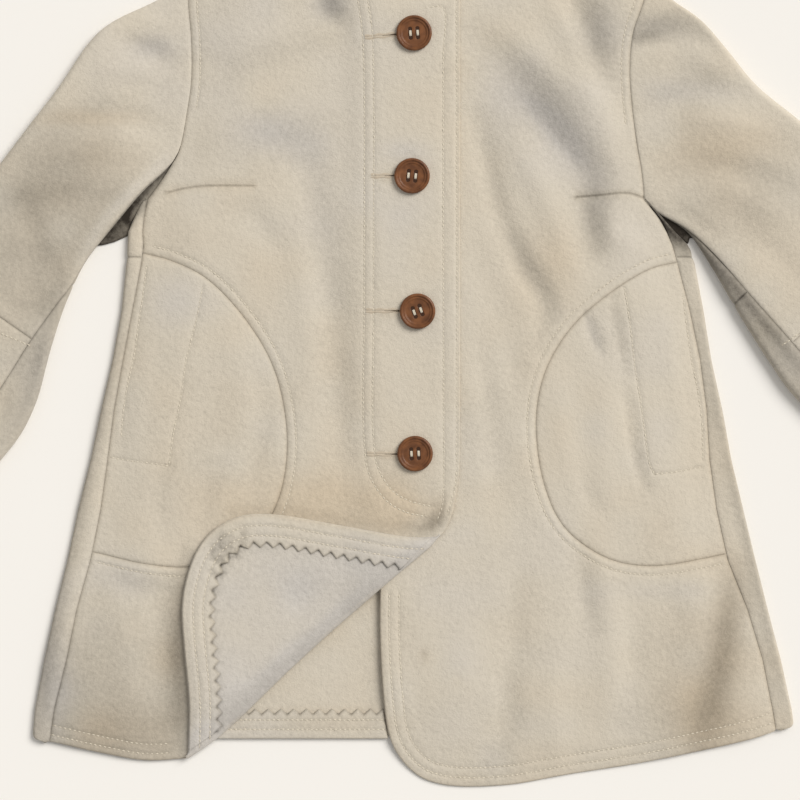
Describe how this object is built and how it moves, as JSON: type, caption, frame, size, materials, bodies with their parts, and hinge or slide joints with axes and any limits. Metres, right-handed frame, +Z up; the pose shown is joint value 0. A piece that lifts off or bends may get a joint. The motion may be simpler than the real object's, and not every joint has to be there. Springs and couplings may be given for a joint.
{
  "type": "hooded coat",
  "caption": "Cream wool coat with a hood, let-in side pocket panels and round brown buttons, laid flat with one front corner turned back.",
  "frame": {"origin": "middle of the underside that the coat lies on", "axes": "+Z up off the surface, +Y towards the hood, +X towards the wearer's left sleeve"},
  "size_m": [1.1942, 1.11, 0.0145],
  "materials": {
    "wool": "napped",
    "button": "satin"
  },
  "bodies": {
    "root": {"back_upper": "wool", "back_lower": "wool", "front_right": "wool", "front_left": "wool", "pocket_panel_right": "wool", "pocket_panel_left": "wool", "facing_right": "wool", "hem_facing_back": "wool", "sleeve_right_upper_top": "wool", "sleeve_right_upper_cuff": "wool", "sleeve_right_under_top": "wool", "sleeve_right_under_cuff": "wool", "sleeve_left_upper_top": "wool", "sleeve_left_upper_cuff": "wool", "sleeve_left_under_top": "wool", "sleeve_left_under_cuff": "wool", "hood_right": "wool", "hood_left": "wool", "button_1": "button", "button_2": "button", "button_3": "button", "button_4": "button"}
  },
  "joints": []
}
